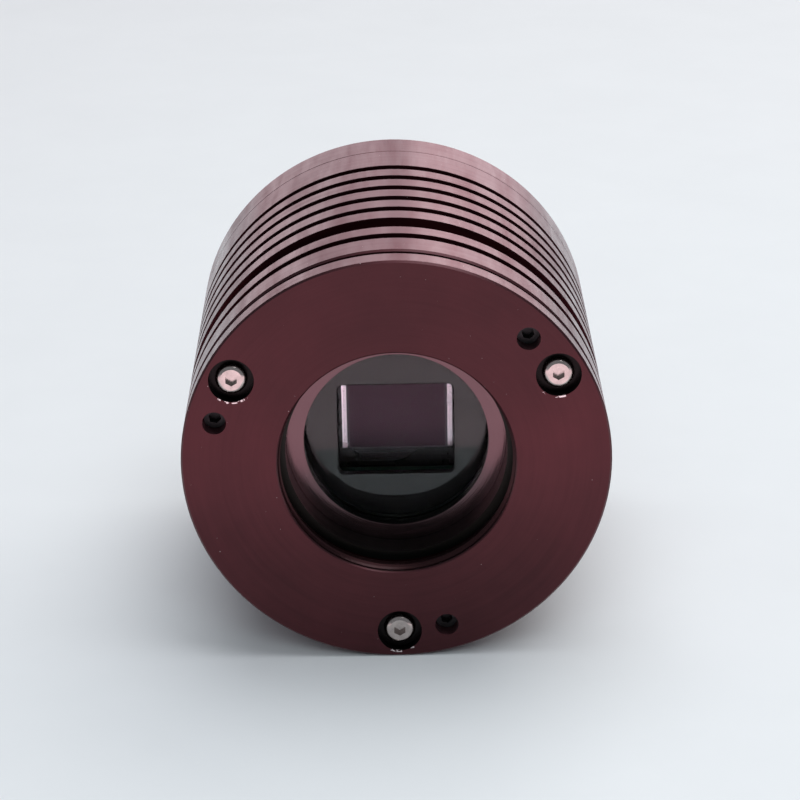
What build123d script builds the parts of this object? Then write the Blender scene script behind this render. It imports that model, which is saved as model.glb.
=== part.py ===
from build123d import *
import os

# A cooled astronomy camera, in millimetres.
# The origin is the centre of the front face. The optical axis runs along +Y, from the
# telescope into the camera. +Z is up when the camera lies on its side.

# Casing
body_r = 38.0
groove_root_r = 34.0
rear_y = 71.3
edge = 0.35

# Front tilt plate and the gap behind it
plate_t = 4.25
housing_y = 5.88
thread_r = 21.0
thread_chamfer = 0.25
screw_circle_r = 32.9
lock_angle = 30.0
push_angle = 45.0
m3_r = 1.5
lock_head_y = 2.0
lock_head_bore_r = 4.0
lock_clear_r = 1.7
lock_tap_r = 1.8
lock_tap_depth = 5.6
lock_length = 7.6
push_r = 2.0
push_clear_r = 2.1
push_length = 3.1
push_hex_r = 1.0
push_hex_depth = 1.6
tilt_seal_r = 24.3
tilt_seal_section_r = 0.8
tilt_seal_groove_w = 1.8
tilt_seal_groove_t = 0.45

# Cooling grooves: the front one, the wide one at the joint, and the evenly spaced ones
front_groove_y = 13.33
front_groove_w = 2.5
joint_y = 20.65
wide_groove_w = 5.0
first_groove_y = 28.2
groove_pitch = 6.15
groove_w = 2.4
groove_count = 5
cover_y = 63.0

# Optical train
bore_r = 19.8
ring_y = 10.7
ring_t = 2.2
ring_fit = 0.05
clear_r = 16.6
glass_r = 19.3
glass_t = 1.5
window_seal_r = 18.5
window_seal_section_r = 0.5
seat_y = 15.4
seat_r = 17.3
relief_y = 13.0
relief_inner_r = 22.5
relief_outer_r = 31.5
tongue_y = 16.4
tongue_r = 23.0
skirt_r = 32.45
skirt_chamfer = 1.1
housing_seal_r = 32.72
housing_seal_section_r = 0.33
housing_seal_setback = 0.34
aperture_y = 16.7
aperture_t = 1.2
aperture_r = 32.3
aperture_w = 20.8
aperture_h = 17.3
aperture_z = -0.3
aperture_corner = 1.0
aperture_bevel = 0.25
aperture_back_y = aperture_y + aperture_t

# Sensor: cover glass, the package's three steps, ledges for the bond wires, and the die
cover_glass_y = 20.9
cover_glass_w = 26.0
cover_glass_h = 19.0
cover_glass_t = 0.8
package_w = 33.0
package_h = 20.0
package_corner = 0.6
package_top_y = cover_glass_y + cover_glass_t
package_step_y = 23.3
package_floor_y = 24.6
package_back_y = 26.2
package_upper_well = (23.6, 17.4)
package_lower_well = (20.9, 15.6)
sensor_y = 24.0
sensor_x = 0.25
sensor_w = 18.3
sensor_h = 14.3
ledge_x = 9.7
ledge_z = 0.2
ledge_y = 23.6
ledge_w = 0.9
ledge_h = 13.9
pin_row_x = 14.6
pin_pitch = 1.27
pin_count = 15
pin_w = 0.45
pin_length = 3.0
header_z = -24.5
header_pitch = 2.0
header_count = 10
header_pin_r = 0.32
header_start_y = 26.4
header_end_y = 53.4

# Shutter
pivot_x = -27.0
pivot_z = 3.0
gear_teeth = 12
gear_pitch_r = 3.0
gear_y = 19.5
gear_t = 0.8
gear_root_r = gear_pitch_r - 0.62
gear_tip_r = gear_pitch_r + 0.42
upper_gear_phase = 270.0
lower_gear_phase = 105.0
blade_t = 0.25
blade_open = 36.0
upper_blade_y = 18.25
lower_blade_y = 18.85
blade_hub_r = 1.6
pin_r = 0.6
pin_reach = 2.9
pin_clear_r = 0.65
motor_shaft_r = 0.5
motor_shaft_y = 17.2
motor_shaft_length = 4.7
motor_r = 3.8
motor_y = 22.0
motor_length = 9.0
motor_offset = 0.2
bracket_y = 21.0
bracket_t = 1.0
bracket_leg_x = -24.6
bracket_leg_z = 15.0
bracket_leg_r = 1.6

# Cooling stack, boards and fan
bulkhead_y = 34.0
bulkhead_t = 4.5
bulkhead_back_y = bulkhead_y + bulkhead_t
spigot_r = 32.35
front_bore_r = 31.2
rear_bore_r = 31.0
inner_fin_t = 1.4
inner_fin_h = 43.0
inner_fin_z = 4.5
inner_fin_depth = 11.5
inner_fin_pitch = 4.2
inner_fin_count = 13
sensor_board_y = 26.9
sensor_board_r = 28.0
sensor_post = 17.5
standoff_r = 2.1
board_t = 1.6
board_pin_clear_r = 0.5
board_hole_r = 1.3
board_tap_r = 1.25
board_screw_r = 1.2
board_screw_length = 5.0
cold_y = 29.1
cold_plate_y = 30.4
element_y = 31.2
hot_plate_y = 33.2
peltier_w = 30.0
element_w = 1.6
element_pitch = 3.4
element_count = 8
insulation_half = 19.0
insulation_cut = 6.6
desiccant_x = 27.0
desiccant_z = 8.0
desiccant_y = 29.0
desiccant_r = 2.6
main_board_y = 52.0
main_board_r = 30.5
main_board_window = 36.0
main_board_post_r = 3.0
main_board_tap_depth = 6.0
chip_t = 1.1
fan_z = 5.0
fan_size = 40.0
fan_t = 10.0
fan_bore_r = 19.0
fan_hub_r = 9.2
fan_hole_r = 1.7
fan_arm_t = 1.4
fan_tube_r = 2.8
fan_tube_length = 7.0
bearing_r = 1.9
bearing_bore_r = 1.03
bearing_length = 6.2
fan_shaft_r = 1.0
fan_shaft_length = 7.6
blade_count = 7
rotor_hub_y = 2.2
rotor_hub_length = 7.2
rotor_inner_r = 8.2
rotor_inner_depth = 8.2
panel_t = 3.0
panel_y = rear_y - panel_t
fan_y = panel_y - fan_t

# Rear cover, sockets and light
cover_chamfer = 0.6
joint_chamfer = 0.15
cover_screw_circle_r = 34.3
cover_screw_count = 6
cover_tap_r = 1.5
cover_tap_depth = 7.0
cover_clear_r = 1.6
cover_head_bore_r = 3.0
cover_head_depth = 2.0
cover_screw_length = 12.0
fan_head_depth = 1.8
fan_screw_length = 10.4
grille_radii = (16.2, 12.3, 8.4)
grille_slot_w = 2.5
grille_arm_w = 2.2
vent_r = 26.5
vent_angles = (-24, 156)
vent_count = 7
vent_span = 48.0
vent_length = 6.0
vent_w = 2.2
socket_y = main_board_y + board_t
socket_z = -21.2
usb_x = -9.0
usb_w = 12.0
usb_h = 10.8
usb_end_y = 71.0
usb_floor_y = 62.0
usb_mouth = (9.0, 8.3)
usb_tongue_size = (5.6, 3.2)
usb_tongue_end_y = 70.4
power_x = 9.5
power_r = 4.75
power_end_y = 70.9
power_floor_y = 61.4
power_bore_r = 2.8
power_pin_r = 1.05
power_pin_end_y = 69.9
light_x = 0.9
light_z = -27.6
light_r = 1.5

ROOT = "parts"
os.makedirs(ROOT, exist_ok=True)


def station(y):
    """The plane across the optical axis at y, seen from the front: local x is X, local y is Z."""
    return Plane(origin=(0, y, 0), x_dir=(1, 0, 0), z_dir=(0, -1, 0))


def back_station(y):
    """The same plane facing the rear, so that holes and heads made on it point backwards."""
    return Plane(origin=(0, y, 0), x_dir=(-1, 0, 0), z_dir=(0, 1, 0))


def ring(inner, outer, start, end):
    """A turned ring about the optical axis."""
    with BuildPart() as turned:
        with BuildSketch(station(start)):
            Circle(outer)
            if inner > 0:
                Circle(inner, mode=Mode.SUBTRACT)
        extrude(amount=start - end)
    return turned.part


def button_screw(shank_r, length):
    """A socket button-head screw along +Z, its head above the XY plane."""
    head_r = 1.9 * shank_r
    head_h = 1.1 * shank_r
    top_r = 0.68 * head_r
    skirt_h = 0.22 * head_h
    with BuildPart() as screw:
        with BuildSketch(Plane.XZ):
            with BuildLine():
                Line((0, 0), (head_r, 0))
                Line((head_r, 0), (head_r, skirt_h))
                ThreePointArc((head_r, skirt_h), (0.93 * head_r, 0.66 * head_h), (top_r, head_h))
                Line((top_r, head_h), (0, head_h))
                Line((0, head_h), (0, 0))
            make_face()
        revolve(axis=Axis.Z)
        with BuildSketch(Plane.XY):
            Circle(shank_r)
        extrude(amount=-length)
        with BuildSketch(Plane.XY.offset(head_h)):
            RegularPolygon(0.667 * shank_r, 6, major_radius=False)
        extrude(amount=-0.7 * head_h, mode=Mode.SUBTRACT)
    return screw.part


def save(part, name):
    """Label a finished piece and write it as its own node."""
    part.label = name
    export_step(part, f"{ROOT}/{name}.step")


def rims_of(solid, radius):
    """The circular edges of one radius, from front to rear."""
    circles = solid.edges().filter_by(GeomType.CIRCLE)
    return circles.filter_by(lambda rim: abs(rim.radius - radius) < 0.01).sort_by(Axis.Y)


def groove_list():
    """Start and end of every groove in the finned middle of the casing."""
    middles = [first_groove_y + i * groove_pitch for i in range(groove_count)]
    return [(y - groove_w / 2, y + groove_w / 2) for y in middles]


def square(half_x, half_z, shift_z=0):
    """Four points of a rectangle, for standoffs and screws."""
    return [(sx * half_x, sz * half_z + shift_z) for sx in (-1, 1) for sz in (-1, 1)]


# ---------------------------------------------------------------- tilt plate at the front

with BuildPart() as front_tilt_plate:
    with BuildSketch(station(0)):
        Circle(body_r)
    extrude(amount=-plate_t)
    chamfer(front_tilt_plate.edges().filter_by(GeomType.CIRCLE), edge)
    with BuildSketch(station(0)):
        Circle(thread_r)
        with PolarLocations(screw_circle_r, 3, start_angle=push_angle):
            Circle(push_clear_r)
    extrude(amount=-plate_t, mode=Mode.SUBTRACT)
    with Locations(station(0)):
        with PolarLocations(screw_circle_r, 3, start_angle=lock_angle):
            CounterBoreHole(
                radius=lock_clear_r,
                counter_bore_radius=lock_head_bore_r,
                counter_bore_depth=lock_head_y,
                depth=plate_t,
            )
    with BuildSketch(station(plate_t)):
        Circle(tilt_seal_r + tilt_seal_groove_w / 2)
        Circle(tilt_seal_r - tilt_seal_groove_w / 2, mode=Mode.SUBTRACT)
    extrude(amount=tilt_seal_groove_t, mode=Mode.SUBTRACT)
    chamfer(rims_of(front_tilt_plate, thread_r)[0], thread_chamfer)
save(front_tilt_plate.part, "front_tilt_plate")

lock_screw = button_screw(m3_r, lock_length)
with BuildPart() as tilt_lock_screws:
    with Locations(station(lock_head_y)):
        with PolarLocations(screw_circle_r, 3, start_angle=lock_angle):
            add(lock_screw)
save(tilt_lock_screws.part, "tilt_lock_screws")

with BuildPart() as tilt_push_screws:
    with Locations(station(housing_y)):
        with PolarLocations(screw_circle_r, 3, start_angle=push_angle):
            Cylinder(push_r, push_length, align=(Align.CENTER, Align.CENTER, Align.MIN))
    with BuildSketch(station(housing_y - push_length)):
        with PolarLocations(screw_circle_r, 3, start_angle=push_angle):
            RegularPolygon(push_hex_r, 6, major_radius=False)
    extrude(amount=-push_hex_depth, mode=Mode.SUBTRACT)
save(tilt_push_screws.part, "tilt_push_screws")

with BuildPart() as tilt_seal:
    with BuildSketch(Plane.XY):
        with Locations((tilt_seal_r, (plate_t + housing_y) / 2)):
            Circle(tilt_seal_section_r)
    revolve(axis=Axis.Y)
save(tilt_seal.part, "tilt_seal")

# ---------------------------------------------------------------- front housing and window

with BuildPart() as front_housing:
    with BuildSketch(station(housing_y)):
        Circle(body_r)
    extrude(amount=housing_y - joint_y)
    chamfer(front_housing.edges().filter_by(GeomType.CIRCLE).sort_by(Axis.Y)[0], edge)
    for start, end in (
        (front_groove_y - front_groove_w / 2, front_groove_y + front_groove_w / 2),
        (joint_y - wide_groove_w / 2, joint_y),
    ):
        with BuildSketch(station(start)):
            Circle(body_r + 1)
            Circle(groove_root_r, mode=Mode.SUBTRACT)
        extrude(amount=start - end, mode=Mode.SUBTRACT)
    for radius, start, end in (
        (bore_r, housing_y, seat_y),
        (seat_r, seat_y, aperture_y),
        (skirt_r, aperture_y, joint_y),
    ):
        with BuildSketch(station(start)):
            Circle(radius)
        extrude(amount=start - end, mode=Mode.SUBTRACT)
    with BuildSketch(station(relief_y)):
        Circle(relief_outer_r)
        Circle(relief_inner_r, mode=Mode.SUBTRACT)
    extrude(amount=relief_y - aperture_y, mode=Mode.SUBTRACT)
    with BuildSketch(station(tongue_y)):
        Circle(tongue_r)
    extrude(amount=tongue_y - aperture_y, mode=Mode.SUBTRACT)
    with BuildSketch(station(housing_y)):
        Circle(tilt_seal_r + tilt_seal_groove_w / 2)
        Circle(tilt_seal_r - tilt_seal_groove_w / 2, mode=Mode.SUBTRACT)
    extrude(amount=-tilt_seal_groove_t, mode=Mode.SUBTRACT)
    with BuildSketch(station(housing_y)):
        with PolarLocations(screw_circle_r, 3, start_angle=lock_angle):
            Circle(lock_tap_r)
    extrude(amount=-lock_tap_depth, mode=Mode.SUBTRACT)
    chamfer(rims_of(front_housing, skirt_r)[-1], skirt_chamfer)
save(front_housing.part, "front_housing")

with BuildPart() as window_retainer:
    add(ring(clear_r, bore_r - ring_fit, ring_y, ring_y + ring_t))
save(window_retainer.part, "window_retainer")

with BuildPart() as window_glass:
    add(ring(0, glass_r, ring_y + ring_t, ring_y + ring_t + glass_t))
save(window_glass.part, "window_glass")

with BuildPart() as window_seal:
    with BuildSketch(Plane.XY):
        with Locations((window_seal_r, seat_y - window_seal_section_r)):
            Circle(window_seal_section_r)
    revolve(axis=Axis.Y)
save(window_seal.part, "window_seal")

with BuildPart() as housing_seal:
    with BuildSketch(Plane.XY):
        with Locations((housing_seal_r, joint_y - housing_seal_setback)):
            Circle(housing_seal_section_r)
    revolve(axis=Axis.Y)
save(housing_seal.part, "housing_seal")

# ---------------------------------------------------------------- shutter

with BuildPart() as aperture_plate:
    with BuildSketch(station(aperture_y)):
        Circle(aperture_r)
        with Locations((0, aperture_z)):
            RectangleRounded(aperture_w, aperture_h, aperture_corner, mode=Mode.SUBTRACT)
        with Locations((pivot_x, pivot_z)):
            Circle(pin_r, mode=Mode.SUBTRACT)
    extrude(amount=-aperture_t)
    cutout = aperture_plate.edges().filter_by(lambda rim: abs(rim.center().X) < 1 + aperture_w / 2)
    chamfer(cutout.group_by(Axis.Y)[0], aperture_bevel)
save(aperture_plate.part, "aperture_plate")

with BuildPart() as shutter_pivot_pin:
    with BuildSketch(station(aperture_back_y)):
        with Locations((pivot_x, -pivot_z)):
            Circle(pin_r)
    extrude(amount=-pin_reach)
save(shutter_pivot_pin.part, "shutter_pivot_pin")


def gear_profile(phase):
    """A small spur gear: twelve tapered teeth on a root circle, drawn about the local origin."""
    half_tooth = ((gear_root_r - 0.3, 0.42), (gear_pitch_r, 0.3), (gear_tip_r, 0.15))
    tooth = [(r, -half) for r, half in half_tooth] + [(r, half) for r, half in reversed(half_tooth)]
    with BuildSketch() as profile:
        Circle(gear_root_r)
        with PolarLocations(0, gear_teeth, start_angle=phase):
            Polygon(*tooth, align=None)
    return profile.sketch


def blade_outline(side):
    """The closed blade covers its half of the aperture; side is +1 for the upper, -1 for the lower."""
    with BuildSketch() as outline:
        with BuildLine():
            Polyline(
                (pivot_x + 1.5, side * (pivot_z - 2.6)),
                (11.6, side * -0.6),
                (11.6, side * 9.6),
                (-11.8, side * 9.6),
                (pivot_x + 2.2, side * (pivot_z + 2.4)),
                close=True,
            )
        make_face()
        with Locations((pivot_x, side * pivot_z)):
            Circle(3.0)
    return outline.sketch


def shutter_blade(side, sheet_y, hole_r, phase):
    """A blade parked open, with its hub and gear."""
    pivot = (pivot_x, side * pivot_z)
    centre = Location((pivot_x, side * pivot_z, 0))
    parked = centre * Location((0, 0, 0), (0, 0, side * blade_open)) * centre.inverse()
    with BuildPart() as blade:
        with BuildSketch(station(sheet_y)):
            add(parked * blade_outline(side))
        extrude(amount=-blade_t)
        with BuildSketch(station(sheet_y)):
            with Locations(pivot):
                Circle(blade_hub_r)
        extrude(amount=sheet_y - gear_y)
        with BuildSketch(station(gear_y)):
            with Locations(pivot):
                add(gear_profile(phase))
        extrude(amount=-gear_t)
        with BuildSketch(station(sheet_y)):
            with Locations(pivot):
                Circle(hole_r)
        extrude(amount=sheet_y - gear_y - gear_t, mode=Mode.SUBTRACT)
    return blade.part


save(shutter_blade(1, upper_blade_y, motor_shaft_r, upper_gear_phase), "shutter_blade_upper")
save(shutter_blade(-1, lower_blade_y, pin_clear_r, lower_gear_phase), "shutter_blade_lower")

with BuildPart() as motor_shaft:
    with BuildSketch(station(motor_shaft_y)):
        with Locations((pivot_x, pivot_z)):
            Circle(motor_shaft_r)
    extrude(amount=-motor_shaft_length)
save(motor_shaft.part, "motor_shaft")

with BuildPart() as shutter_motor:
    with BuildSketch(station(motor_y)):
        with Locations((pivot_x + motor_offset, pivot_z)):
            Circle(motor_r)
    extrude(amount=-motor_length)
    fillet(shutter_motor.edges().filter_by(GeomType.CIRCLE).sort_by(Axis.Y)[-1], 0.5)
save(shutter_motor.part, "shutter_motor")

with BuildPart() as motor_bracket:
    with BuildSketch(station(bracket_y)):
        with Locations((pivot_x + 3.0, 0)):
            RectangleRounded(8, 26, 1.5)
        with Locations((pivot_x, 0)):
            Circle(4.0)
        with Locations((pivot_x, pivot_z)):
            Circle(0.8, mode=Mode.SUBTRACT)
        with Locations((pivot_x, -pivot_z)):
            Circle(pin_r, mode=Mode.SUBTRACT)
        with Locations((pivot_x + 2.8, 13.5), (pivot_x + 2.8, -13.5)):
            RectangleRounded(4, 6, 1)
    extrude(amount=-bracket_t)
    with BuildSketch(station(aperture_back_y)):
        with Locations((bracket_leg_x, bracket_leg_z), (bracket_leg_x, -bracket_leg_z)):
            Circle(bracket_leg_r)
    extrude(amount=aperture_back_y - bracket_y - bracket_t)
save(motor_bracket.part, "motor_bracket")

# ---------------------------------------------------------------- sensor

with BuildPart() as sensor_package:
    with BuildSketch(station(package_top_y)):
        RectangleRounded(package_w, package_h, package_corner)
    extrude(amount=package_top_y - package_back_y)
    for well, start, end in (
        (package_upper_well, package_top_y, package_step_y),
        (package_lower_well, package_step_y, package_floor_y),
    ):
        with BuildSketch(station(start)):
            Rectangle(*well)
        extrude(amount=start - end, mode=Mode.SUBTRACT)
save(sensor_package.part, "sensor_package")

with BuildPart() as sensor_die:
    with BuildSketch(station(sensor_y)):
        with Locations((sensor_x, 0)):
            Rectangle(sensor_w, sensor_h)
    extrude(amount=sensor_y - package_floor_y)
save(sensor_die.part, "sensor_die")

with BuildPart() as bond_ledges:
    with BuildSketch(station(ledge_y)):
        with Locations((sensor_x - ledge_x, ledge_z), (sensor_x + ledge_x, ledge_z)):
            Rectangle(ledge_w, ledge_h)
    extrude(amount=ledge_y - package_floor_y)
save(bond_ledges.part, "bond_ledges")

with BuildPart() as sensor_cover_glass:
    with BuildSketch(station(cover_glass_y)):
        RectangleRounded(cover_glass_w, cover_glass_h, 0.4)
    extrude(amount=-cover_glass_t)
save(sensor_cover_glass.part, "sensor_cover_glass")

pin_start = -pin_pitch * (pin_count - 1) / 2
header_start = -header_pitch * (header_count - 1) / 2
pin_rows = [(side * pin_row_x, pin_start + pin_pitch * i) for side in (-1, 1) for i in range(pin_count)]
header_row = [(header_start + header_pitch * i, header_z) for i in range(header_count)]
sensor_posts = square(sensor_post, sensor_post)

with BuildPart() as sensor_pins:
    with BuildSketch(station(package_back_y)):
        with Locations(*pin_rows):
            Rectangle(pin_w, pin_w)
    extrude(amount=-pin_length)
save(sensor_pins.part, "sensor_pins")

with BuildPart() as sensor_board:
    with BuildSketch(station(sensor_board_y)):
        Circle(sensor_board_r)
        with Locations((pivot_x + 0.5, 0)):
            Rectangle(11, 60, mode=Mode.SUBTRACT)
        Rectangle(25, 15, mode=Mode.SUBTRACT)
        with Locations(*pin_rows):
            Circle(pin_w, mode=Mode.SUBTRACT)
        with Locations(*header_row):
            Circle(board_pin_clear_r, mode=Mode.SUBTRACT)
        with Locations(*sensor_posts):
            Circle(board_hole_r, mode=Mode.SUBTRACT)
    extrude(amount=-board_t)
save(sensor_board.part, "sensor_board")

with BuildPart() as sensor_board_standoffs:
    with BuildSketch(station(sensor_board_y + board_t)):
        with Locations(*sensor_posts):
            RegularPolygon(standoff_r, 6, major_radius=False)
            Circle(board_tap_r, mode=Mode.SUBTRACT)
    extrude(amount=sensor_board_y + board_t - bulkhead_y)
save(sensor_board_standoffs.part, "sensor_board_standoffs")

board_screw = button_screw(board_screw_r, board_screw_length)
with BuildPart() as sensor_board_screws:
    with Locations(station(sensor_board_y)):
        with Locations(*sensor_posts):
            add(board_screw)
save(sensor_board_screws.part, "sensor_board_screws")

# ---------------------------------------------------------------- cooling stack

with BuildPart() as cold_finger:
    with BuildSketch(station(package_back_y)):
        RectangleRounded(24, 14, 1)
    extrude(amount=package_back_y - cold_y)
    with BuildSketch(station(cold_y)):
        RectangleRounded(26, peltier_w, 1)
    extrude(amount=cold_y - cold_plate_y)
save(cold_finger.part, "cold_finger")

with BuildPart() as peltier_cold_plate:
    with BuildSketch(station(cold_plate_y)):
        Rectangle(peltier_w, peltier_w)
    extrude(amount=cold_plate_y - element_y)
save(peltier_cold_plate.part, "peltier_cold_plate")

with BuildPart() as peltier_elements:
    with BuildSketch(station(element_y)):
        with GridLocations(element_pitch, element_pitch, element_count, element_count):
            Rectangle(element_w, element_w)
    extrude(amount=element_y - hot_plate_y)
save(peltier_elements.part, "peltier_elements")

with BuildPart() as peltier_hot_plate:
    with BuildSketch(station(hot_plate_y)):
        Rectangle(peltier_w, peltier_w)
    extrude(amount=hot_plate_y - bulkhead_y)
save(peltier_hot_plate.part, "peltier_hot_plate")

with BuildPart() as insulation_frame:
    with BuildSketch(station(cold_plate_y)) as frame_outline:
        Rectangle(2 * insulation_half, 2 * insulation_half)
        chamfer(frame_outline.vertices(), insulation_cut)
        Rectangle(peltier_w + 0.4, peltier_w + 0.4, mode=Mode.SUBTRACT)
    extrude(amount=cold_plate_y - bulkhead_y)
save(insulation_frame.part, "insulation_frame")

with BuildPart() as desiccant_capsule:
    with BuildSketch(station(desiccant_y)):
        with Locations((desiccant_x, desiccant_z)):
            Circle(desiccant_r)
    extrude(amount=desiccant_y - bulkhead_y)
    fillet(desiccant_capsule.edges().filter_by(GeomType.CIRCLE).sort_by(Axis.Y)[0], 0.6)
save(desiccant_capsule.part, "desiccant_capsule")

# ---------------------------------------------------------------- finned body

board_posts = [(-22.5, 14.0), (22.5, 14.0), (-22.5, -10.0), (22.5, -10.0)]

with BuildPart() as heat_sink_body:
    with BuildSketch(station(joint_y)):
        Circle(body_r)
    extrude(amount=joint_y - cover_y)
    for start, end in [(joint_y, joint_y + wide_groove_w / 2)] + groove_list():
        with BuildSketch(station(start)):
            Circle(body_r + 1)
            Circle(groove_root_r, mode=Mode.SUBTRACT)
        extrude(amount=start - end, mode=Mode.SUBTRACT)
    with BuildSketch(station(aperture_back_y)):
        Circle(spigot_r)
    extrude(amount=aperture_back_y - joint_y)
    with BuildSketch(station(aperture_back_y)):
        Circle(front_bore_r)
    extrude(amount=aperture_back_y - bulkhead_y, mode=Mode.SUBTRACT)
    with BuildSketch(station(bulkhead_back_y)):
        Circle(rear_bore_r)
    extrude(amount=bulkhead_back_y - cover_y, mode=Mode.SUBTRACT)
    with BuildSketch(station(bulkhead_back_y)):
        with Locations((0, inner_fin_z)):
            with GridLocations(inner_fin_pitch, 1, inner_fin_count, 1):
                Rectangle(inner_fin_t, inner_fin_h)
        Circle(rear_bore_r + 0.5, mode=Mode.INTERSECT)
    extrude(amount=-inner_fin_depth)
    with BuildSketch(station(bulkhead_back_y)):
        with Locations(*board_posts):
            Circle(main_board_post_r)
    extrude(amount=bulkhead_back_y - main_board_y)
    with BuildSketch(station(main_board_y)):
        with Locations(*board_posts):
            Circle(board_tap_r)
    extrude(amount=main_board_tap_depth, mode=Mode.SUBTRACT)
    with BuildSketch(station(bulkhead_y)):
        with Locations((0, header_z)):
            RectangleRounded(23, 5, 1)
    extrude(amount=-bulkhead_t, mode=Mode.SUBTRACT)
    with BuildSketch(back_station(cover_y)):
        with PolarLocations(cover_screw_circle_r, cover_screw_count):
            Circle(cover_tap_r)
    extrude(amount=-cover_tap_depth, mode=Mode.SUBTRACT)
    chamfer(rims_of(heat_sink_body, body_r)[-1], joint_chamfer)
save(heat_sink_body.part, "heat_sink_body")

with BuildPart() as feedthrough_block:
    with BuildSketch(station(bulkhead_y)):
        with Locations((0, header_z)):
            RectangleRounded(23, 5, 1)
        with Locations(*header_row):
            Circle(header_pin_r, mode=Mode.SUBTRACT)
    extrude(amount=-bulkhead_t)
save(feedthrough_block.part, "feedthrough_block")

with BuildPart() as feedthrough_pins:
    with BuildSketch(station(header_start_y)):
        with Locations(*header_row):
            Circle(header_pin_r)
    extrude(amount=header_start_y - header_end_y)
save(feedthrough_pins.part, "feedthrough_pins")

# ---------------------------------------------------------------- electronics at the rear

with BuildPart() as main_board:
    with BuildSketch(station(main_board_y)):
        Circle(main_board_r)
        with Locations((0, fan_z)):
            Rectangle(main_board_window, main_board_window, mode=Mode.SUBTRACT)
        with Locations(*header_row):
            Circle(board_pin_clear_r, mode=Mode.SUBTRACT)
        with Locations(*board_posts):
            Circle(board_hole_r, mode=Mode.SUBTRACT)
    extrude(amount=-board_t)
save(main_board.part, "main_board")

with BuildPart() as main_board_screws:
    with Locations(back_station(socket_y)):
        with Locations(*[(-x, z) for x, z in board_posts]):
            add(board_screw)
save(main_board_screws.part, "main_board_screws")

with BuildPart() as logic_chips:
    with BuildSketch(station(main_board_y - chip_t)):
        with Locations((-9, -18)):
            Rectangle(8, 8)
        with Locations((3, -18), (12.5, -18)):
            Rectangle(6, 7)
    extrude(amount=-chip_t)
save(logic_chips.part, "logic_chips")

with BuildPart() as usb_shell:
    with BuildSketch(station(socket_y)):
        with Locations((usb_x, socket_z)):
            RectangleRounded(usb_w, usb_h, 0.5)
    extrude(amount=socket_y - usb_end_y)
    with BuildSketch(station(usb_floor_y)):
        with Locations((usb_x, socket_z)):
            RectangleRounded(*usb_mouth, 0.8)
    extrude(amount=usb_floor_y - usb_end_y, mode=Mode.SUBTRACT)
save(usb_shell.part, "usb_shell")

with BuildPart() as usb_tongue:
    with BuildSketch(station(usb_floor_y)):
        with Locations((usb_x, socket_z)):
            RectangleRounded(*usb_tongue_size, 0.3)
    extrude(amount=usb_floor_y - usb_tongue_end_y)
save(usb_tongue.part, "usb_tongue")

with BuildPart() as power_socket:
    with BuildSketch(station(socket_y)):
        with Locations((power_x, socket_z)):
            Circle(power_r)
    extrude(amount=socket_y - power_end_y)
    with BuildSketch(station(power_floor_y)):
        with Locations((power_x, socket_z)):
            Circle(power_bore_r)
    extrude(amount=power_floor_y - power_end_y, mode=Mode.SUBTRACT)
save(power_socket.part, "power_socket")

with BuildPart() as power_socket_pin:
    with BuildSketch(station(power_floor_y)):
        with Locations((power_x, socket_z)):
            Circle(power_pin_r)
    extrude(amount=power_floor_y - power_pin_end_y)
    fillet(power_socket_pin.edges().filter_by(GeomType.CIRCLE).sort_by(Axis.Y)[-1], 0.4)
save(power_socket_pin.part, "power_socket_pin")

with BuildPart() as status_light:
    with BuildSketch(station(socket_y)):
        with Locations((light_x, light_z)):
            Circle(light_r)
    extrude(amount=socket_y - rear_y)
save(status_light.part, "status_light")

# ---------------------------------------------------------------- fan

fan_holes = square(16, 16, fan_z)

with BuildPart() as fan_frame:
    with BuildSketch(station(fan_y)):
        with Locations((0, fan_z)):
            RectangleRounded(fan_size, fan_size, 4)
            Circle(fan_bore_r, mode=Mode.SUBTRACT)
        with Locations(*fan_holes):
            Circle(fan_hole_r, mode=Mode.SUBTRACT)
    extrude(amount=-fan_t)
    with BuildSketch(station(fan_y)):
        with Locations((0, fan_z)):
            with PolarLocations(14, 4, start_angle=45):
                Rectangle(12, 2.0)
            Circle(fan_hub_r)
    extrude(amount=-fan_arm_t)
    with BuildSketch(station(fan_y)):
        with Locations((0, fan_z)):
            Circle(fan_tube_r)
    extrude(amount=-fan_tube_length)
    with BuildSketch(station(fan_y)):
        with Locations((0, fan_z)):
            Circle(bearing_r)
    extrude(amount=-fan_tube_length, mode=Mode.SUBTRACT)
save(fan_frame.part, "fan_frame")

with BuildPart() as fan_bearing:
    with BuildSketch(station(fan_y + 0.8)):
        with Locations((0, fan_z)):
            Circle(bearing_r)
            Circle(bearing_bore_r, mode=Mode.SUBTRACT)
    extrude(amount=-bearing_length)
save(fan_bearing.part, "fan_bearing")

with BuildPart() as fan_blade:
    for reach, width, pitch_angle in ((8.4, 6.6, 52), (18.3, 8.2, 32)):
        with BuildSketch(Plane(origin=(reach, 0, -6.1), x_dir=(0, 1, 0), z_dir=(1, 0, 0))):
            Rectangle(width, 0.9, rotation=pitch_angle)
    loft()

with BuildPart() as fan_rotor:
    with Locations(station(fan_y)):
        with Locations((0, fan_z)):
            with PolarLocations(0, blade_count):
                add(fan_blade.part)
    with BuildSketch(station(fan_y + rotor_hub_y)):
        with Locations((0, fan_z)):
            Circle(fan_hub_r)
    extrude(amount=-rotor_hub_length)
    fillet(fan_rotor.edges().filter_by(GeomType.CIRCLE).sort_by(Axis.Y)[-1], 0.8)
    with BuildSketch(station(fan_y)):
        with Locations((0, fan_z)):
            Circle(rotor_inner_r)
    extrude(amount=-rotor_inner_depth, mode=Mode.SUBTRACT)
    with BuildSketch(station(fan_y)):
        with Locations((0, fan_z)):
            Circle(fan_shaft_r)
    extrude(amount=-fan_t, mode=Mode.SUBTRACT)
save(fan_rotor.part, "fan_rotor")

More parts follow.
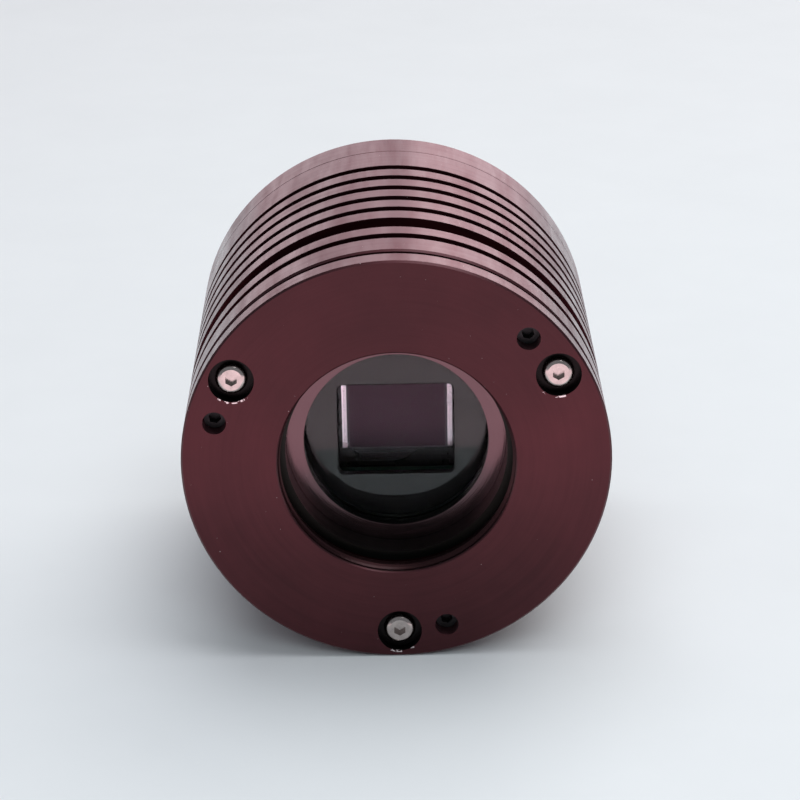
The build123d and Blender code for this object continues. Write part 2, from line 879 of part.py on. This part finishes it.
with BuildPart() as fan_shaft:
    with BuildSketch(station(fan_y + 1.5)):
        with Locations((0, fan_z)):
            Circle(fan_shaft_r)
    extrude(amount=-fan_shaft_length)
save(fan_shaft.part, "fan_shaft")

# ---------------------------------------------------------------- rear cover

with BuildPart() as rear_cover:
    with BuildSketch(station(cover_y)):
        Circle(body_r)
    extrude(amount=cover_y - rear_y)
    rims = rims_of(rear_cover, body_r)
    chamfer(rims[-1], cover_chamfer)
    chamfer(rims[0], joint_chamfer)
    with BuildSketch(station(cover_y)):
        Circle(rear_bore_r)
    extrude(amount=cover_y - panel_y, mode=Mode.SUBTRACT)
    with BuildSketch(station(panel_y)):
        with Locations((0, fan_z)):
            for inner in grille_radii:
                Circle(inner + grille_slot_w)
                Circle(inner, mode=Mode.SUBTRACT)
            for lean in (45, -45):
                Rectangle(fan_size, grille_arm_w, rotation=lean, mode=Mode.SUBTRACT)
    extrude(amount=-panel_t, mode=Mode.SUBTRACT)
    with BuildSketch(station(panel_y)):
        for start_angle in vent_angles:
            with PolarLocations(vent_r, vent_count, start_angle=start_angle, angular_range=vent_span):
                SlotOverall(vent_length, vent_w)
        with Locations((usb_x, socket_z)):
            RectangleRounded(usb_w + 0.3, usb_h + 0.3, 0.6)
        with Locations((power_x, socket_z)):
            Circle(power_r + 0.25)
        with Locations((light_x, light_z)):
            Circle(light_r + 0.05)
    extrude(amount=-panel_t, mode=Mode.SUBTRACT)
    with Locations(back_station(rear_y)):
        with PolarLocations(cover_screw_circle_r, cover_screw_count):
            CounterBoreHole(
                radius=cover_clear_r,
                counter_bore_radius=cover_head_bore_r,
                counter_bore_depth=cover_head_depth,
                depth=rear_y - cover_y,
            )
        with Locations(*[(-x, z) for x, z in fan_holes]):
            CounterBoreHole(
                radius=fan_hole_r,
                counter_bore_radius=cover_head_bore_r,
                counter_bore_depth=fan_head_depth,
                depth=panel_t,
            )
save(rear_cover.part, "rear_cover")

cover_screw = button_screw(m3_r, cover_screw_length)
with BuildPart() as rear_cover_screws:
    with Locations(back_station(rear_y - cover_head_depth)):
        with PolarLocations(cover_screw_circle_r, cover_screw_count):
            add(cover_screw)
save(rear_cover_screws.part, "rear_cover_screws")

fan_screw = button_screw(m3_r, fan_screw_length)
with BuildPart() as fan_screws:
    with Locations(back_station(rear_y - fan_head_depth)):
        with Locations(*[(-x, z) for x, z in fan_holes]):
            add(fan_screw)
save(fan_screws.part, "fan_screws")
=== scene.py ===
import math

import bmesh
import bpy
from mathutils import Euler, Matrix, Vector


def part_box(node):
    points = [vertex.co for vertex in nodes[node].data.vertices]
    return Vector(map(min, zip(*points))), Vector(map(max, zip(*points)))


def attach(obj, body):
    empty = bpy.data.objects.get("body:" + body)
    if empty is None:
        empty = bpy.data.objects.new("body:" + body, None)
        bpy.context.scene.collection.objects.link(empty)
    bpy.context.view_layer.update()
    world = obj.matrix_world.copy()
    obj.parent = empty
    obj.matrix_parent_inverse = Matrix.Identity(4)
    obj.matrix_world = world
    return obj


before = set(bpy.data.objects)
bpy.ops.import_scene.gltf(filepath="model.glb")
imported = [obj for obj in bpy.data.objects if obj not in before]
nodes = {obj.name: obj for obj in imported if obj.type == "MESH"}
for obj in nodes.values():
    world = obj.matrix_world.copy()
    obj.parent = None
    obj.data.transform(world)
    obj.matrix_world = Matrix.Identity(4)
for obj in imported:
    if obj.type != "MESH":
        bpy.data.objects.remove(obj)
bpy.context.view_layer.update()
scene = bpy.context.scene
scene.view_settings.view_transform = "Standard"

# ---------------------------------------------------------------- measures, in metres

BODY_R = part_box("front_tilt_plate")[1].x
PLATE_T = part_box("front_tilt_plate")[1].y
FLOOR_Z = -BODY_R
THREAD_R = 0.021
THREAD_PITCH = 0.00075
THREAD_DEPTH = 0.0004
THREAD_LEAST = 0.00001
THREAD_FLANK = 0.48  # half the foot of the ridge, as a share of the pitch
THREAD_STEPS = 120  # in each turn
COUNTERBORE_R = 0.004
WEAR_WIDTH = 0.0003
LOCK_CIRCLE_R = 0.0329
LOCK_ANGLES = [math.radians(angle) for angle in (30, 150, 270)]
LOCK_HOLES = [(LOCK_CIRCLE_R * math.cos(angle), 0.0, LOCK_CIRCLE_R * math.sin(angle)) for angle in LOCK_ANGLES]
RING_BORE_R = 0.01665
HOUSING_BORE_R = 0.0215
PLATE_BORE_R = 0.02105
DIE_LOW, DIE_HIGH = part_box("sensor_die")
DIE_X = (DIE_LOW.x + DIE_HIGH.x) / 2
DIE_BORDER_X = 0.00035
DIE_BORDER_Z = 0.0003
LEDGE_LOW, LEDGE_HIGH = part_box("bond_ledges")
WIRE_COUNT = 44
WIRE_R = 0.000035
WIRE_LOOP = 0.0003
WIRE_STEPS = 6
WIRE_INSET = 0.00025
PAD_INSET = 0.00022

# Surface detail: noise scales in cycles per metre, mask levels, and the depths of lines and seats.
# A face counts as facing the axis, and so as a ring and not a hoop, above FACE_LIMIT.
COARSE_LINES = 900.0
FINE_LINES = 5200.0
PATCH_SCALE = 55.0
CHIP_SCALE = 520.0
CHIP_LEVEL = 0.55
DUST_SCALE = 2600.0
DUST_LEVEL = 0.81
STREAKS_AROUND = 8.0
STREAKS_ALONG = 25.0
# The share of the lighter rim colour mixed into the anodised rims: a painted highlight for the light they catch
# from above.
RIM_HIGHLIGHT_MIX = 0.6
FACE_LIMIT = 0.7
LINE_HEIGHT = 0.00006
GRAIN_HEIGHT = 0.00005
EDGE_SLACK = 0.00005
SEAT_TOP = 0.00006

# Linear colours that more than one material shares
MAROON_LIGHT = (0.080, 0.018, 0.023)
MAROON_DARK = (0.044, 0.010, 0.013)
# Painted highlight: a lighter maroon laid on the rims in place of the light they catch from above.
RIM_PAINTED_HIGHLIGHT = (0.25, 0.10, 0.12, 1)
SHADED_BORE = (0.020, 0.020, 0.018)
SHADED_THREAD = (0.050, 0.020, 0.022)
SHADED_SEAT = (0.012, 0.010, 0.010, 1)
BARE_METAL = (0.82, 0.72, 0.72, 1)
DIE_BORDER = (0.10, 0.08, 0.095, 1)


# ---------------------------------------------------------------- helpers for materials

class Graph:
    """Short names for building a node material."""

    def __init__(self, name):
        self.material = bpy.data.materials.new(name)
        self.material.use_nodes = True
        self.nodes = self.material.node_tree.nodes
        self.links = self.material.node_tree.links
        self.shader = self.nodes["Principled BSDF"]

    def node(self, kind, **sockets):
        made = self.nodes.new(kind)
        for key, value in sockets.items():
            made.inputs[key.replace("_", " ")].default_value = value
        return made

    def link(self, source, target):
        self.links.new(source, target)

    def set(self, **sockets):
        for key, value in sockets.items():
            self.shader.inputs[key.replace("_", " ")].default_value = value

    def math(self, operation, a, b=0.0):
        made = self.nodes.new("ShaderNodeMath")
        made.operation = operation
        for socket, value in zip(made.inputs, (a, b)):
            if isinstance(value, (int, float)):
                socket.default_value = value
            else:
                self.link(value, socket)
        return made.outputs[0]

    def times(self, a, b):
        return self.math("MULTIPLY", a, b)

    def plus(self, a, b):
        return self.math("ADD", a, b)

    def minus(self, a, b):
        return self.math("SUBTRACT", a, b)

    def above(self, a, b):
        return self.math("GREATER_THAN", a, b)

    def below(self, a, b):
        return self.math("LESS_THAN", a, b)

    def size(self, a):
        return self.math("ABSOLUTE", a)

    def hypotenuse(self, a, b):
        return self.math("SQRT", self.plus(self.times(a, a), self.times(b, b)))

    def split(self, vector):
        made = self.nodes.new("ShaderNodeSeparateXYZ")
        self.link(vector, made.inputs[0])
        return made.outputs

    def point(self):
        return self.nodes.new("ShaderNodeTexCoord").outputs["Object"]

    def normal(self):
        return self.nodes.new("ShaderNodeNewGeometry").outputs["Normal"]

    def combine(self, x, y, z):
        made = self.nodes.new("ShaderNodeCombineXYZ")
        for socket, value in zip(made.inputs, (x, y, z)):
            if isinstance(value, (int, float)):
                socket.default_value = value
            else:
                self.link(value, socket)
        return made.outputs[0]

    def noise(self, vector, scale, detail=2.0, rough=0.5):
        made = self.node("ShaderNodeTexNoise", Scale=scale, Detail=detail, Roughness=rough)
        self.link(vector, made.inputs["Vector"])
        return made.outputs["Fac"]

    def ramp(self, factor, stops):
        made = self.nodes.new("ShaderNodeValToRGB")
        elements = made.color_ramp.elements
        while len(elements) < len(stops):
            elements.new(0.5)
        for element, (place, colour) in zip(elements, stops):
            element.position = place
            element.color = (*colour, 1)
        self.link(factor, made.inputs[0])
        return made.outputs["Color"]

    def grey(self, factor, low, high, start=0.0, end=1.0):
        made = self.node("ShaderNodeMapRange", From_Min=start, From_Max=end, To_Min=low, To_Max=high)
        self.link(factor, made.inputs["Value"])
        return made.outputs["Result"]

    def blend_colour(self, factor, first, second):
        made = self.nodes.new("ShaderNodeMix")
        made.data_type = "RGBA"
        self.link(factor, made.inputs["Factor"])
        self.link(first, made.inputs["A"])
        made.inputs["B"].default_value = second
        return made.outputs["Result"]

    def bump(self, height, strength, distance):
        made = self.node("ShaderNodeBump", Strength=strength, Distance=distance)
        self.link(height, made.inputs["Height"])
        self.link(made.outputs["Normal"], self.shader.inputs["Normal"])


def turned(graph, point, facing):
    """Concentric lathe lines: rings on the faces, hoops on the cylinders, about the optical axis."""
    x, y, z = graph.split(point)
    radius = graph.hypotenuse(x, z)
    on_face = graph.above(facing, FACE_LIMIT)
    along = graph.plus(graph.times(radius, on_face), graph.times(y, graph.minus(1.0, on_face)))
    angle = graph.math("ARCTAN2", z, x)
    cosine = graph.math("COSINE", angle)
    sine = graph.math("SINE", angle)
    coarse = graph.noise(graph.combine(graph.times(along, COARSE_LINES), cosine, sine), 1.0, 3.0, 0.7)
    fine = graph.noise(graph.combine(graph.times(along, FINE_LINES), graph.times(angle, 1.2), 0.0), 1.0, 2.0, 0.6)
    around = graph.combine(graph.times(cosine, STREAKS_AROUND), graph.times(along, STREAKS_ALONG),
                           graph.times(sine, STREAKS_AROUND))
    streak = graph.grey(graph.noise(around, 1.0, 4.0, 0.7), 0.45, 1.35, 0.32, 0.66)
    return radius, coarse, fine, streak


def screw_seats(graph, point):
    """Masks for the unlit wall of each screw counterbore and for bare metal chipped out of its lower edge."""
    chips = graph.noise(point, CHIP_SCALE, 4.0, 0.7)
    worn = 0.0
    walls = 0.0
    for centre in LOCK_HOLES:
        offset = graph.nodes.new("ShaderNodeVectorMath")
        offset.operation = "SUBTRACT"
        graph.link(point, offset.inputs[0])
        offset.inputs[1].default_value = centre
        across, _, up = graph.split(offset.outputs[0])
        reach = graph.hypotenuse(across, up)
        band = graph.below(graph.size(graph.minus(reach, COUNTERBORE_R)), WEAR_WIDTH)
        low = graph.below(up, -0.8 * COUNTERBORE_R)
        worn = graph.plus(worn, graph.times(band, low))
        walls = graph.plus(walls, graph.below(reach, COUNTERBORE_R + EDGE_SLACK))
    depth = graph.split(point)[1]
    chipped = graph.times(graph.below(depth, WEAR_WIDTH), graph.above(chips, CHIP_LEVEL))
    sunk = graph.times(graph.above(depth, SEAT_TOP), graph.below(depth, PLATE_T))
    return graph.times(walls, sunk), graph.times(worn, chipped)


def anodised(name, light, dark, roughness, face_coat, rim_coat, bore_r=0.0, bore=SHADED_BORE, brushed=0.7):
    """Dyed and sealed turned aluminium, with a painted highlight on the rims, painted shade inside bore_r and on
    the counterbore walls, dust and chipped screw seats.
    """
    graph = Graph(name)
    point = graph.point()
    facing = graph.size(graph.split(graph.normal())[1])
    radius, coarse, fine, streak = turned(graph, point, facing)
    seats, chips = screw_seats(graph, point)
    # Painted shade: inside bore_r and on the counterbore walls the colour is made dark and the coat is cut, in
    # place of the shade there.
    painted_shade_zone = graph.math("MAXIMUM", graph.below(radius, bore_r), seats)

    patch = graph.noise(point, PATCH_SCALE, 3.0, 0.6)
    lines = graph.plus(graph.times(coarse, 0.55), graph.times(patch, 0.45))
    colour = graph.ramp(lines, ((0.28, dark), (0.72, light)))
    # Painted highlight: the rims, which face away from the axis direction, are mixed toward a lighter maroon for
    # the light they catch.
    colour = graph.blend_colour(graph.grey(facing, RIM_HIGHLIGHT_MIX, 0.0, 0.3, 0.8), colour, RIM_PAINTED_HIGHLIGHT)
    colour = graph.blend_colour(painted_shade_zone, colour, (*bore, 1))
    colour = graph.blend_colour(seats, colour, SHADED_SEAT)
    dust = graph.times(graph.above(graph.noise(point, DUST_SCALE, 1.0, 0.4), DUST_LEVEL), graph.minus(1.0, painted_shade_zone))
    worn = graph.math("MAXIMUM", chips, graph.times(dust, 0.5))
    graph.link(graph.blend_colour(worn, colour, BARE_METAL), graph.shader.inputs["Base Color"])
    graph.link(graph.grey(coarse, roughness - 0.06, roughness + 0.08, 0.25, 0.75), graph.shader.inputs["Roughness"])

    hoops = graph.times(streak, graph.grey(fine, 0.7, 1.25, 0.3, 0.7))
    rim_gloss = graph.times(graph.times(hoops, rim_coat), graph.minus(1.0, facing))
    gloss = graph.plus(rim_gloss, graph.times(facing, face_coat))
    graph.link(graph.times(gloss, graph.grey(painted_shade_zone, 1.0, 0.35)), graph.shader.inputs["Coat Weight"])
    graph.set(Metallic=1.0, Anisotropic=brushed, Anisotropic_Rotation=0.25, Coat_Roughness=0.22, Coat_IOR=1.5)
    graph.bump(graph.plus(graph.times(fine, 0.6), graph.times(coarse, 0.4)), 0.22, LINE_HEIGHT)
    tangent = graph.nodes.new("ShaderNodeTangent")
    tangent.direction_type = "RADIAL"
    tangent.axis = "Y"
    graph.link(tangent.outputs[0], graph.shader.inputs["Tangent"])
    return graph.material


def speckled(name, light, dark, scale, roughness, bump=0.0, metallic=0.0, spread=0.08, **sockets):
    """A plain material with fine mottling in colour, roughness and height."""
    graph = Graph(name)
    point = graph.point()
    grain = graph.noise(point, scale, 3.0, 0.6)
    broad = graph.noise(point, scale * 0.08, 2.0, 0.5)
    mixed = graph.plus(graph.times(grain, 0.6), graph.times(broad, 0.4))
    graph.link(graph.ramp(mixed, ((0.3, dark), (0.7, light))), graph.shader.inputs["Base Color"])
    rough = graph.grey(broad, roughness - spread, roughness + spread, 0.3, 0.7)
    graph.link(rough, graph.shader.inputs["Roughness"])
    graph.set(Metallic=metallic, **sockets)
    if bump:
        graph.bump(grain, bump, GRAIN_HEIGHT)
    return graph.material


def glass(name, tint, ior):
    """A coated window: almost clear, with a faint coloured sheen."""
    graph = Graph(name)
    point = graph.point()
    haze = graph.noise(point, 300.0, 2.0, 0.5)
    graph.link(graph.grey(haze, 0.0, 0.004, 0.3, 0.8), graph.shader.inputs["Roughness"])
    graph.set(Base_Color=(*tint, 1), Transmission_Weight=1.0, IOR=ior)
    return graph.material


def silicon():
    """The image sensor: a smooth violet-grey die with a hairline light border."""
    graph = Graph("sensor_silicon")
    point = graph.point()
    x, _, z = graph.split(point)
    rim_x = graph.above(graph.size(graph.minus(x, DIE_X)), DIE_HIGH.x - DIE_X - DIE_BORDER_X)
    rim_z = graph.above(graph.size(z), DIE_HIGH.z - DIE_BORDER_Z)
    rim = graph.math("MAXIMUM", rim_x, rim_z)
    shade = graph.noise(point, 40.0, 2.0, 0.5)
    body = graph.ramp(shade, ((0.3, (0.040, 0.010, 0.025)), (0.7, (0.047, 0.013, 0.030))))
    graph.link(graph.blend_colour(rim, body, DIE_BORDER), graph.shader.inputs["Base Color"])
    graph.set(Roughness=0.25, Metallic=0.3, IOR=1.25)
    return graph.material


MAROON = anodised("maroon_anodised", MAROON_LIGHT, MAROON_DARK, 0.40, 0.3, 0.85)
PLATE_MAROON = anodised("maroon_plate", MAROON_LIGHT, MAROON_DARK, 0.40, 0.3, 0.85, PLATE_BORE_R, SHADED_THREAD)
HOUSING_MAROON = anodised("maroon_housing", MAROON_LIGHT, MAROON_DARK, 0.40, 0.3, 0.85, HOUSING_BORE_R)
RING_MAROON = anodised("maroon_ring", (0.120, 0.066, 0.074), (0.094, 0.052, 0.058), 0.11, 0.5, 0.5,
                       RING_BORE_R, brushed=0.3)
STEEL = speckled("stainless", (0.64, 0.56, 0.53), (0.40, 0.35, 0.33), 900.0, 0.24, 0.15, 1.0)
BLACK_STEEL = speckled("black_oxide", (0.045, 0.043, 0.045), (0.02, 0.02, 0.021), 900.0, 0.42, 0.2, 0.7)
PLAIN_STEEL = speckled("plain_steel", (0.62, 0.62, 0.63), (0.45, 0.45, 0.46), 700.0, 0.3, 0.1, 1.0)
RUBBER = speckled("seal_rubber", (0.028, 0.028, 0.029), (0.015, 0.015, 0.016), 1500.0, 0.62, 0.25)
APERTURE = speckled("polished_black", (0.011, 0.010, 0.0105), (0.010, 0.009, 0.0095), 200.0, 0.05, 0.0, 0.0,
                    0.005, IOR=1.52)
BLADE = speckled("blade_black", (0.02, 0.02, 0.02), (0.01, 0.01, 0.01), 1200.0, 0.6, 0.2)
ALUMINIUM = speckled("machined_aluminium", (0.72, 0.72, 0.73), (0.6, 0.6, 0.61), 500.0, 0.32, 0.15, 1.0)
CERAMIC = speckled("package_ceramic", (0.020, 0.014, 0.016), (0.012, 0.009, 0.010), 900.0, 0.3, 0.1)
WHITE_CERAMIC = speckled("alumina", (0.8, 0.79, 0.76), (0.7, 0.69, 0.66), 900.0, 0.5, 0.1)
GOLD = speckled("bond_plating", (1.0, 0.93, 0.95), (0.90, 0.82, 0.85), 2500.0, 0.22, 0.2, 1.0)
BRASS = speckled("pin_plating", (0.85, 0.66, 0.36), (0.72, 0.52, 0.26), 1200.0, 0.25, 0.1, 1.0)
BOARD = speckled("solder_mask", (0.02, 0.115, 0.06), (0.012, 0.08, 0.04), 260.0, 0.35, 0.2)
PELLET = speckled("pellet_alloy", (0.45, 0.45, 0.47), (0.3, 0.3, 0.32), 800.0, 0.45, 0.2, 0.8)
NYLON = speckled("nylon", (0.82, 0.8, 0.74), (0.74, 0.72, 0.66), 900.0, 0.45, 0.1)
FOAM = speckled("closed_foam", (0.05, 0.05, 0.05), (0.02, 0.02, 0.02), 1800.0, 0.85, 0.6)
PLASTIC = speckled("moulded_black", (0.032, 0.032, 0.034), (0.018, 0.018, 0.019), 1400.0, 0.46, 0.3)
DESICCANT = speckled("desiccant", (0.8, 0.79, 0.76), (0.66, 0.65, 0.6), 1600.0, 0.8, 0.5)
LIGHT_PIPE = speckled("light_pipe", (0.78, 0.82, 0.8), (0.66, 0.72, 0.7), 600.0, 0.35, 0.05, 0.0, 0.1,
                      Transmission_Weight=0.6)
WINDOW = glass("coated_window", (0.97, 0.99, 0.985), 1.06)
COVER_GLASS = glass("sensor_glass", (0.97, 0.96, 0.99), 1.18)
SILICON = silicon()

CAD_MATERIALS = {
    "front_tilt_plate": PLATE_MAROON, "front_housing": HOUSING_MAROON, "heat_sink_body": MAROON,
    "rear_cover": MAROON, "window_retainer": RING_MAROON, "tilt_lock_screws": STEEL,
    "tilt_push_screws": BLACK_STEEL,
    "rear_cover_screws": BLACK_STEEL, "fan_screws": BLACK_STEEL, "sensor_board_screws": BLACK_STEEL,
    "main_board_screws": BLACK_STEEL, "shutter_pivot_pin": PLAIN_STEEL, "motor_shaft": PLAIN_STEEL,
    "fan_shaft": PLAIN_STEEL, "shutter_motor": PLAIN_STEEL, "usb_shell": PLAIN_STEEL,
    "power_socket_pin": PLAIN_STEEL, "tilt_seal": RUBBER, "window_seal": RUBBER, "housing_seal": RUBBER,
    "window_glass": WINDOW, "sensor_cover_glass": COVER_GLASS, "aperture_plate": APERTURE,
    "shutter_blade_upper": BLADE, "shutter_blade_lower": BLADE, "motor_bracket": ALUMINIUM,
    "cold_finger": ALUMINIUM, "sensor_package": CERAMIC, "peltier_cold_plate": WHITE_CERAMIC,
    "peltier_hot_plate": WHITE_CERAMIC, "sensor_die": SILICON, "bond_ledges": GOLD, "sensor_pins": BRASS,
    "feedthrough_pins": BRASS, "fan_bearing": BRASS, "sensor_board": BOARD, "main_board": BOARD,
    "peltier_elements": PELLET, "sensor_board_standoffs": NYLON, "insulation_frame": FOAM,
    "fan_frame": PLASTIC, "fan_rotor": PLASTIC, "usb_tongue": PLASTIC, "power_socket": PLASTIC,
    "logic_chips": PLASTIC, "feedthrough_block": PLASTIC, "desiccant_capsule": DESICCANT,
    "status_light": LIGHT_PIPE,
}

for name, thing in nodes.items():
    thing.data.materials.clear()
    thing.data.materials.append(CAD_MATERIALS[name])


# ---------------------------------------------------------------- helpers for shapes

def piece(name, build, material, body):
    """Make the mesh that build(bm) draws, as a piece of the object that rides on a body."""
    bm = bmesh.new()
    build(bm)
    bmesh.ops.recalc_face_normals(bm, faces=bm.faces)
    mesh = bpy.data.meshes.new(name)
    bm.to_mesh(mesh)
    bm.free()
    mesh.materials.append(material)
    thing = bpy.data.objects.new(name, mesh)
    scene.collection.objects.link(thing)
    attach(thing, body)


def extrude_rows(bm, rows):
    """Skin a run of three-point sections and close both ends."""
    for first, second in zip(rows, rows[1:]):
        for k in range(3):
            bm.faces.new((first[k], first[(k + 1) % 3], second[(k + 1) % 3], second[k]))
    bm.faces.new(rows[0])
    bm.faces.new(reversed(rows[-1]))


# ---------------------------------------------------------------- telescope thread

def thread_ridge(bm):
    """A triangular ridge wound right-handed along the bore, fading out at both ends."""
    turns = int((PLATE_T - 2 * THREAD_PITCH) / THREAD_PITCH)
    rows = []
    for i in range(turns * THREAD_STEPS + 1):
        turn = 2 * math.pi * i / THREAD_STEPS
        centre = THREAD_PITCH * (1 + i / THREAD_STEPS)
        depth = THREAD_DEPTH * min(1.0, i / THREAD_STEPS, turns - i / THREAD_STEPS) + THREAD_LEAST
        row = []
        for radius, shift in ((THREAD_R, -THREAD_FLANK), (THREAD_R - depth, 0.0), (THREAD_R, THREAD_FLANK)):
            row.append(bm.verts.new((radius * math.cos(turn), centre + shift * THREAD_PITCH,
                                     radius * math.sin(turn))))
        rows.append(row)
    extrude_rows(bm, rows)


piece("thread_ridge", thread_ridge, PLATE_MAROON, "front_plate")


# ---------------------------------------------------------------- bond wires

def bond_wires(bm):
    """Fine wires looping from each ledge down to the edge of the die."""
    start_x = LEDGE_HIGH.x - DIE_X - WIRE_INSET
    end_x = DIE_HIGH.x - DIE_X - PAD_INSET
    for side in (-1, 1):
        for i in range(WIRE_COUNT):
            z = LEDGE_LOW.z + (LEDGE_HIGH.z - LEDGE_LOW.z) * (i + 0.5) / WIRE_COUNT
            rows = []
            for k in range(WIRE_STEPS + 1):
                t = k / WIRE_STEPS
                x = DIE_X + side * (start_x + (end_x - start_x) * t)
                y = LEDGE_LOW.y + (DIE_LOW.y - LEDGE_LOW.y) * t * t - WIRE_LOOP * math.sin(math.pi * t) - WIRE_R
                rows.append([bm.verts.new((x, y - WIRE_R, z)), bm.verts.new((x, y + WIRE_R, z - WIRE_R)),
                             bm.verts.new((x, y + WIRE_R, z + WIRE_R))])
            extrude_rows(bm, rows)


piece("bond_wires", bond_wires, GOLD, "camera")


# ---------------------------------------------------------------- floor, lights and camera

FLOOR_SIZE = 8.0
SKY_COLOUR = (0.86, 0.93, 1.0, 1)
SKY_STRENGTH = 0.27
CARD_Y = -0.309
CAMERA_PLACE = (0.00019, -0.42942, 0.19061)
CAMERA_TURN = (22.552, 0.083, 1.080)  # down, right and clockwise, in degrees
CAMERA_LENS = 120.06  # millimetres


def build_floor():
    bpy.ops.mesh.primitive_plane_add(size=FLOOR_SIZE, location=(0, 1.0, FLOOR_Z))
    floor = bpy.context.object
    floor.name = "floor"
    floor.data.materials.append(
        speckled("pale_floor", (0.80, 0.815, 0.83), (0.77, 0.785, 0.80), 30.0, 0.75))


def area_light(name, place, aim, size, power, colour, diffuse=True, glossy=True):
    data = bpy.data.lights.new(name, "AREA")
    data.shape = "RECTANGLE"
    data.size, data.size_y = size
    data.energy = power
    data.color = colour
    light = bpy.data.objects.new(name, data)
    light.location = place
    light.rotation_euler = (Vector(aim) - Vector(place)).to_track_quat("-Z", "Y").to_euler()
    light.visible_camera = False
    light.visible_diffuse = diffuse
    light.visible_glossy = glossy
    scene.collection.objects.link(light)


def build_lights():
    world = bpy.data.worlds.new("studio")
    world.use_nodes = True
    background = world.node_tree.nodes["Background"]
    background.inputs["Color"].default_value = SKY_COLOUR
    background.inputs["Strength"].default_value = SKY_STRENGTH
    scene.world = world
    area_light("back_softbox", (0.55, 0.65, 0.85), (0, 0.0, 0), (1.3, 0.8), 5.8, (1.0, 0.98, 0.95))
    area_light("top_softbox", (0.10, 0.05, 1.1), (0, -0.05, 0), (1.4, 0.6), 8.0, (0.95, 0.97, 1.0))
    for name, x, y, width, power, colour in (
        ("back_left", -0.60, 1.3, 1.2, 2.8, (1.0, 0.76, 0.80)),
        ("back_right", 0.665, 1.3, 1.2, 3.4, (1.0, 0.78, 0.82)),
        ("back_middle", 0.03, 1.35, 0.2, 0.22, (1.0, 0.76, 0.80)),
    ):
        area_light(name, (x, y, 0.40), (0, 0.03, 0), (width, 0.85), power, colour, diffuse=False)
    area_light("front_card", (0.0, CARD_Y, FLOOR_Z + 0.001), (0.0, CARD_Y, 1.0), (0.9, 0.5), 1.0, (1.0, 0.52, 0.60))
    area_light("front_fill", (0.0, -0.5, 0.45), (0, -0.07, FLOOR_Z), (0.5, 0.3), 1.0, (0.85, 0.97, 1.0),
               glossy=False)


def build_camera():
    data = bpy.data.cameras.new("camera")
    data.sensor_width = 36.0
    data.lens = CAMERA_LENS
    camera = bpy.data.objects.new("camera", data)
    pitch, yaw, roll = (math.radians(angle) for angle in CAMERA_TURN)
    turn = Euler((math.radians(90) - pitch, 0, -yaw)).to_matrix() @ Matrix.Rotation(-roll, 3, "Z")
    camera.rotation_euler = turn.to_euler()
    camera.location = CAMERA_PLACE
    scene.collection.objects.link(camera)
    scene.camera = camera


build_camera()
build_floor()
build_lights()
